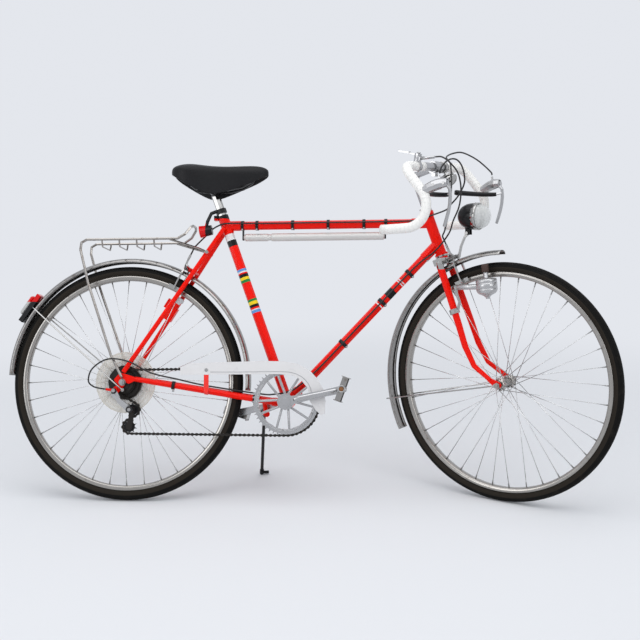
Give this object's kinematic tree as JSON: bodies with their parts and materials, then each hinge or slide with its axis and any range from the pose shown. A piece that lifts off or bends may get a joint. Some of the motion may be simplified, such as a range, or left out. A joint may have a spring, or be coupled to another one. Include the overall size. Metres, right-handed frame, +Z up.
{
  "type": "touring bicycle",
  "caption": "Diamond-frame bicycle with dropped bars, chain drive, mudguards, rear carrier, lamps and prop stand, standing with its bars turned.",
  "frame": {"origin": "on the floor, below the middle of the bounding box", "axes": "+X to the front wheel, +Y to the bicycle's left, +Z up; the machine leans to its left on the stand and its bars are turned to the right"},
  "size_m": [1.771, 0.5282, 0.9997],
  "materials": {
    "red_enamel": "glossy enamel over steel",
    "chrome": "bright plate",
    "alloy": "polished alloy",
    "steel": "plated steel",
    "black": "black",
    "vinyl": "black padded cover",
    "rubber": "black rubber",
    "tape": "white bar tape",
    "cream": "off-white enamel",
    "lens": "clear fluted lens",
    "ruby": "red moulding",
    "smoke": "dark translucent disc",
    "hood": "light grey moulded cover"
  },
  "bodies": {
    "frame": {"head_tube": "red_enamel", "seat_tube": "red_enamel", "top_tube": "red_enamel", "pump": "alloy", "down_tube": "red_enamel", "right_chainstay": "red_enamel", "left_chainstay": "red_enamel", "right_seatstay": "red_enamel", "left_seatstay": "red_enamel", "seat_post": "chrome", "saddle": "vinyl", "rear_mudguard": "chrome", "rear_reflector": "ruby", "rack": "chrome", "rear_axle": "steel", "tail_lamp": "ruby", "wheel_lock": "red_enamel", "chain_guard": "cream", "chain": "steel", "rear_brake_cable": "black", "gear_cable": "black"},
    "front": {"fork": "red_enamel", "stem": "alloy", "handlebar": "tape", "right_lever_hood": "hood", "left_lever_hood": "hood", "bell": "chrome", "front_mudguard": "chrome", "dynamo_bracket": "chrome", "front_axle": "steel", "front_brake_cable": "black"},
    "headlamp": {"headlamp_shell": "black", "headlamp_lens": "lens"},
    "front_wheel": {"front_rim": "alloy", "front_tyre": "rubber", "front_hub": "steel"},
    "rear_wheel": {"rear_rim": "alloy", "rear_tyre": "rubber", "rear_hub": "steel", "spoke_guard": "smoke"},
    "sprockets": {"freewheel": "steel"},
    "cranks": {"chainring": "alloy", "right_crank": "alloy", "left_crank": "alloy"},
    "right_pedal_body": {"right_pedal": "steel"},
    "left_pedal_body": {"left_pedal": "steel"},
    "right_lever": {"right_brake_lever": "alloy"},
    "left_lever": {"left_brake_lever": "alloy"},
    "rear_arm_right": {"rear_brake_arm_right": "chrome"},
    "rear_arm_left": {"rear_brake_arm_left": "chrome"},
    "front_arm_right": {"front_brake_arm_right": "chrome"},
    "front_arm_left": {"front_brake_arm_left": "chrome"},
    "shifter": {"shift_lever": "alloy"},
    "derailleur": {"derailleur_body": "steel"},
    "cage": {"derailleur_cage": "steel"},
    "upper_jockey": {"upper_pulley": "black"},
    "lower_jockey": {"lower_pulley": "black"},
    "stand": {"kickstand": "black"},
    "dynamo": {"dynamo_body": "alloy"},
    "roller": {"dynamo_roller": "rubber"}
  },
  "joints": [
    {"name": "steering", "type": "hinge", "parent": "frame", "child": "front", "pos_m": [0.53254, -0.07445, 0.32055], "axis": [-0.3246, 0.2484, 0.9126], "range_deg": [-32, 84], "deforming": ["rear_brake_cable", "gear_cable"]},
    {"name": "front_wheel_spin", "type": "hinge", "parent": "front", "child": "front_wheel", "pos_m": [0.57805, -0.09605, 0.34262], "axis": [0.4581, 0.8855, -0.0781], "continuous": true},
    {"name": "rear_wheel_spin", "type": "hinge", "parent": "frame", "child": "rear_wheel", "pos_m": [-0.52393, -0.06982, 0.33292], "axis": [0.0012, 0.965, -0.2623], "continuous": true},
    {"name": "crank_spin", "type": "hinge", "parent": "frame", "child": "cranks", "pos_m": [-0.0477, -0.08451, 0.28097], "axis": [0.0012, 0.965, -0.2623], "range_deg": [-8, 310], "deforming": ["chain"]},
    {"name": "freewheel_spin", "type": "hinge", "parent": "frame", "child": "sprockets", "pos_m": [-0.52393, -0.06982, 0.33292], "axis": [0.0012, 0.965, -0.2623], "continuous": true},
    {"name": "right_pedal_spin", "type": "hinge", "parent": "cranks", "child": "right_pedal_body", "pos_m": [0.11844, -0.07524, 0.31581], "axis": [0.0012, 0.965, -0.2623], "continuous": true},
    {"name": "left_pedal_spin", "type": "hinge", "parent": "cranks", "child": "left_pedal_body", "pos_m": [-0.21383, -0.09378, 0.24613], "axis": [0.0012, 0.965, -0.2623], "continuous": true},
    {"name": "right_brake_lever_squeeze", "type": "hinge", "parent": "front", "child": "right_lever", "pos_m": [0.40727, -0.15599, 0.91492], "axis": [0.4581, 0.8855, -0.0781], "range_deg": [0, 20], "stiffness_Nm_per_rad": 0.6, "springref_deg": -8.59},
    {"name": "left_brake_lever_squeeze", "type": "hinge", "parent": "front", "child": "left_lever", "pos_m": [0.56853, 0.15569, 0.88743], "axis": [0.4581, 0.8855, -0.0781], "range_deg": [0, 20], "stiffness_Nm_per_rad": 0.6, "springref_deg": -8.59},
    {"name": "rear_right_arm_close", "type": "hinge", "parent": "frame", "child": "rear_arm_right", "pos_m": [-0.3499, 0.01858, 0.65895], "axis": [0.889, -0.1211, -0.4417], "range_deg": [0, 0.9]},
    {"name": "rear_left_arm_close", "type": "hinge", "parent": "frame", "child": "rear_arm_left", "pos_m": [-0.3499, 0.01858, 0.65895], "axis": [-0.889, 0.1211, 0.4417], "range_deg": [0, 0.9]},
    {"name": "front_right_arm_close", "type": "hinge", "parent": "front", "child": "front_arm_right", "pos_m": [0.43931, 0.00638, 0.69019], "axis": [0.8138, -0.3825, 0.4376], "range_deg": [0, 0.9]},
    {"name": "front_left_arm_close", "type": "hinge", "parent": "front", "child": "front_arm_left", "pos_m": [0.43931, 0.00638, 0.69019], "axis": [-0.8138, 0.3825, -0.4376], "range_deg": [0, 0.9]},
    {"name": "shift_lever_turn", "type": "hinge", "parent": "front", "child": "shifter", "pos_m": [0.33327, -0.03711, 0.98353], "axis": [0.1543, 0.0073, 0.988], "range_deg": [-20, 20]},
    {"name": "derailleur_swing", "type": "hinge", "parent": "frame", "child": "derailleur", "pos_m": [-0.54392, -0.15438, 0.33094], "axis": [0.7643, 0.1683, 0.6225], "range_deg": [-6, 6], "deforming": ["chain"]},
    {"name": "cage_pivot", "type": "hinge", "parent": "derailleur", "child": "cage", "pos_m": [-0.49759, -0.09055, 0.2568], "axis": [0.0012, 0.965, -0.2623], "range_deg": [-12, 20], "stiffness_Nm_per_rad": 1.5, "deforming": ["chain"]},
    {"name": "upper_pulley_spin", "type": "hinge", "parent": "cage", "child": "upper_jockey", "pos_m": [-0.49759, -0.09055, 0.2568], "axis": [0.0012, 0.965, -0.2623], "continuous": true},
    {"name": "lower_pulley_spin", "type": "hinge", "parent": "cage", "child": "lower_jockey", "pos_m": [-0.50586, -0.10347, 0.20921], "axis": [0.0012, 0.965, -0.2623], "continuous": true},
    {"name": "kickstand_fold", "type": "hinge", "parent": "frame", "child": "stand", "pos_m": [-0.12152, -0.05983, 0.24182], "axis": [-0.4375, 0.8992, -0.0093], "range_deg": [0, 103.8]},
    {"name": "headlamp_tilt", "type": "hinge", "parent": "front", "child": "headlamp", "pos_m": [0.47425, -0.00548, 0.76072], "axis": [0.4581, 0.8855, -0.0781], "range_deg": [-12, 12]},
    {"name": "dynamo_tilt", "type": "hinge", "parent": "front", "child": "dynamo", "pos_m": [0.44374, -0.04587, 0.61031], "axis": [-0.8879, 0.4517, -0.0875], "range_deg": [0, 11]},
    {"name": "dynamo_roller_spin", "type": "hinge", "parent": "dynamo", "child": "roller", "pos_m": [0.52427, -0.08684, 0.61824], "axis": [-0.0945, 0.1359, 0.9862], "continuous": true}
  ],
  "couplings": [
    {"joint": "freewheel_spin", "follows": "crank_spin", "ratio": 2.6667},
    {"joint": "lower_pulley_spin", "follows": "crank_spin", "ratio": 4.8},
    {"joint": "upper_pulley_spin", "follows": "crank_spin", "ratio": -4.8},
    {"joint": "rear_right_arm_close", "follows": "right_brake_lever_squeeze", "ratio": 0.044},
    {"joint": "rear_left_arm_close", "follows": "right_brake_lever_squeeze", "ratio": 0.044},
    {"joint": "front_right_arm_close", "follows": "left_brake_lever_squeeze", "ratio": 0.044},
    {"joint": "front_left_arm_close", "follows": "left_brake_lever_squeeze", "ratio": 0.044},
    {"joint": "derailleur_swing", "follows": "shift_lever_turn", "ratio": 0.3}
  ]
}
